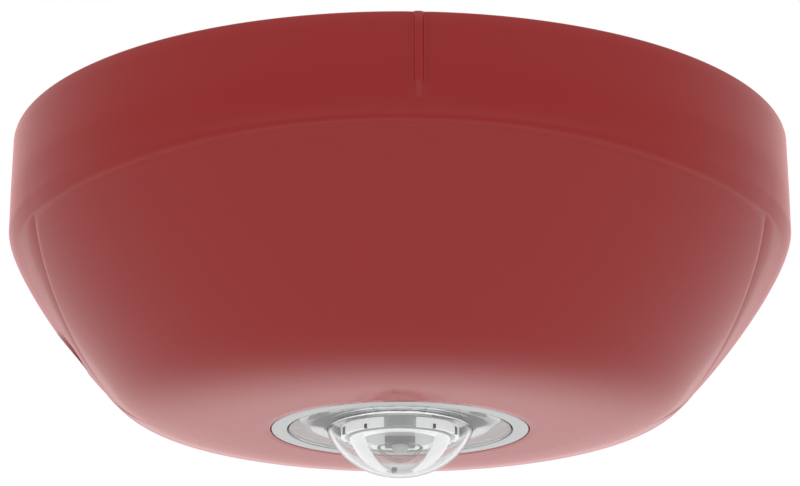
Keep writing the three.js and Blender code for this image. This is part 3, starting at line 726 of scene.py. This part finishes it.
def build_optic():
    """The pieces of the optic, outer ones first."""
    lower_ring = round_corners(washer(LOWER_INNER, LOWER_R, LOWER_Z, LOWER_Z + LOWER_THICK), 0.12)
    floor_plate = washer(LED_HALF + 0.1, LOWER_INNER + 0.1, LOWER_Z + 0.15, FLOOR_TOP)
    window_foot = (LOWER_INNER, LOWER_Z - 0.1)
    return [
        build_upper_ring(),
        build_slits(),
        build_wings(),
        build_step(),
        turned("optic_ring_lower", lower_ring, OPTIC_WHITE_PAINTED_GLOW, 128),
        dome_shell("optic_window", window_foot, WINDOW_TIP, WINDOW_WALL, WINDOW, 128),
        dome_shell("optic_cavity", CAVITY_FOOT, CAVITY_TIP, CAVITY_WALL, CAVITY, 96, CAVITY_LEAN),
        turned("optic_floor_painted_glow", floor_plate, OPTIC_FLOOR_PAINTED_GLOW, 96),
        build_gate_mark(),
    ]


optic = build_optic()
for piece in optic:
    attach(piece, "head")
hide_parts("reflector")

# ---------------------------------------------------------------- strobe LED


def build_led_post():
    """The LED's square package on its post, with the corners cut."""
    far, near = LED_HALF, LED_HALF - LED_CUT
    outline = [(-far, -near), (-near, -far), (near, -far), (far, -near)]
    outline += [(-x, -y) for x, y in outline]
    count = len(outline)
    vertices = [(x, y, z) for z in (LED_FACE + LED_HEIGHT, LED_FACE) for x, y in outline]
    ends = [tuple(range(count)), tuple(reversed(range(count, 2 * count)))]
    sides = [(i, i + count, (i + 1) % count + count, (i + 1) % count) for i in range(count)]
    return new_object("strobe_led_post", vertices, ends + sides, LED_GREY)


def build_led_dome():
    """The round silicone dome on the LED's face, sunk a little into it."""
    quarter = np.linspace(0, math.pi / 2, 16)
    profile = [(0, LED_FACE + 0.05), (LED_DOME_R, LED_FACE + 0.05)]
    profile += [(LED_DOME_R * math.cos(t), LED_FACE - LED_DOME_R * math.sin(t)) for t in quarter]
    return turned("strobe_led_dome", profile, LED_SILICONE_PAINTED_GLOW, 64)


led = build_led_post()
led_dome = build_led_dome()
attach(led, "head")
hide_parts("strobe_led")
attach(led_dome, "head")
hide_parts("led_dome")

# ---------------------------------------------------------------- frosted ring round the lens
ring_section = round_corners(washer(RING_INNER, RING_R, ring_low[2], ring_high[2]), RING_ROUND)
ring = turned("lens_ring_frosted", ring_section, FROST, 128)
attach(ring, "head")
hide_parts("lens_ring")

# ---------------------------------------------------------------- carried-over CAD nodes
# A node takes the first finish whose key its name starts with, and CHIP if there is none.
FINISHES = {
    "mounting_base": RED_SATIN,
    "back_cover": IVORY,
    "main_board": GREEN,
    "led_board": PALE_PAINTED_GLOW,
    "lens_seal": RUBBER,
    "piezo_plate": BRASS,
    "piezo_ceramic": CERAMIC,
    "capacitor": SLEEVE,
    "horn_chamber": BLACK,
    "horn_cap": BLACK,
    "strobe_link": BLACK,
    "option_switch": BLACK,
    "horn_transformer": IVORY,
    "base_contact": BRASS,
    "contact_blade": BRASS,
    "terminal_clamp": STEEL,
    "terminal_screw": STEEL,
    "cover_screw": STEEL,
    "option_slider": WHITE,
}
for node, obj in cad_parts.items():
    finish = next((m for key, m in FINISHES.items() if node.startswith(key)), CHIP)
    obj.data.materials.clear()
    obj.data.materials.append(finish)

# ---------------------------------------------------------------- floor, light and camera, in metres
FLOOR_Z, FLOOR_HALF = -0.45, 6.0
SKY_BOTTOM, SKY_TOP = 0.56, 0.7  # half of the light from straight below and from straight above
SKY = ((0.48, 0.56), (0.58, 0.35), (0.68, 0.36), (0.85, 0.6))  # height share, half of its light
CAMERA_PLACE, CAMERA_TILT = (0.0, -0.290, -0.1034), 17.4  # it looks up by the tilt, in degrees
CAMERA_SENSOR, CAMERA_LENS, CAMERA_NEAR = 36.0, 92.3, 0.01


def build_floor():
    """A plain pale floor far below the device."""
    corners = [(-1, -1), (1, -1), (1, 1), (-1, 1)]
    mesh = bpy.data.meshes.new("floor")
    vertices = [(FLOOR_HALF * x, FLOOR_HALF * y, FLOOR_Z) for x, y in corners]
    mesh.from_pydata(vertices, [], [(0, 1, 2, 3)])
    mesh.materials.append(material("pale_floor", (0.88, 0.88, 0.88), 0.6, tint=0.005))
    floor = bpy.data.objects.new("floor", mesh)
    bpy.context.scene.collection.objects.link(floor)


def build_world():
    """A soft white room. Its light changes with height, and the camera sees it at least full white."""
    world = bpy.data.worlds.new("white_room")
    world.use_nodes = True
    tree = world.node_tree
    background = tree.nodes["Background"]
    background.inputs["Color"].default_value = (1, 1, 1, 1)
    place = tree.nodes.new("ShaderNodeTexCoord")
    parts = tree.nodes.new("ShaderNodeSeparateXYZ")
    tree.links.new(place.outputs["Generated"], parts.inputs["Vector"])
    height = tree.nodes.new("ShaderNodeMapRange")
    height.inputs["From Min"].default_value = -1.0
    tree.links.new(parts.outputs["Z"], height.inputs["Value"])
    # the curve's values stay below 1, so it holds half of the light and the next node doubles it
    level = tree.nodes.new("ShaderNodeFloatCurve")
    level.inputs["Factor"].default_value = 1.0
    points = level.mapping.curves[0].points
    points[0].location = (0.0, SKY_BOTTOM)
    points[1].location = (1.0, SKY_TOP)
    for share, half_light in SKY:
        points.new(share, half_light)
    level.mapping.update()
    tree.links.new(height.outputs["Result"], level.inputs["Value"])
    doubled = tree.nodes.new("ShaderNodeMath")
    doubled.operation = "MULTIPLY"
    doubled.inputs[1].default_value = 2.0
    tree.links.new(level.outputs["Value"], doubled.inputs[0])
    path = tree.nodes.new("ShaderNodeLightPath")
    seen = tree.nodes.new("ShaderNodeMath")
    seen.operation = "MAXIMUM"
    tree.links.new(doubled.outputs["Value"], seen.inputs[0])
    tree.links.new(path.outputs["Is Camera Ray"], seen.inputs[1])
    tree.links.new(seen.outputs["Value"], background.inputs["Strength"])
    bpy.context.scene.world = world


def build_camera():
    """A camera in front of the device and below it, looking up at it."""
    data = bpy.data.cameras.new("camera")
    data.sensor_width = CAMERA_SENSOR
    data.lens = CAMERA_LENS
    data.clip_start = CAMERA_NEAR
    camera = bpy.data.objects.new("camera", data)
    camera.location = CAMERA_PLACE
    camera.rotation_euler = (math.radians(90 + CAMERA_TILT), 0, 0)
    bpy.context.scene.collection.objects.link(camera)
    bpy.context.scene.camera = camera


build_floor()
build_world()
build_camera()
bpy.context.scene.view_settings.view_transform = "Standard"
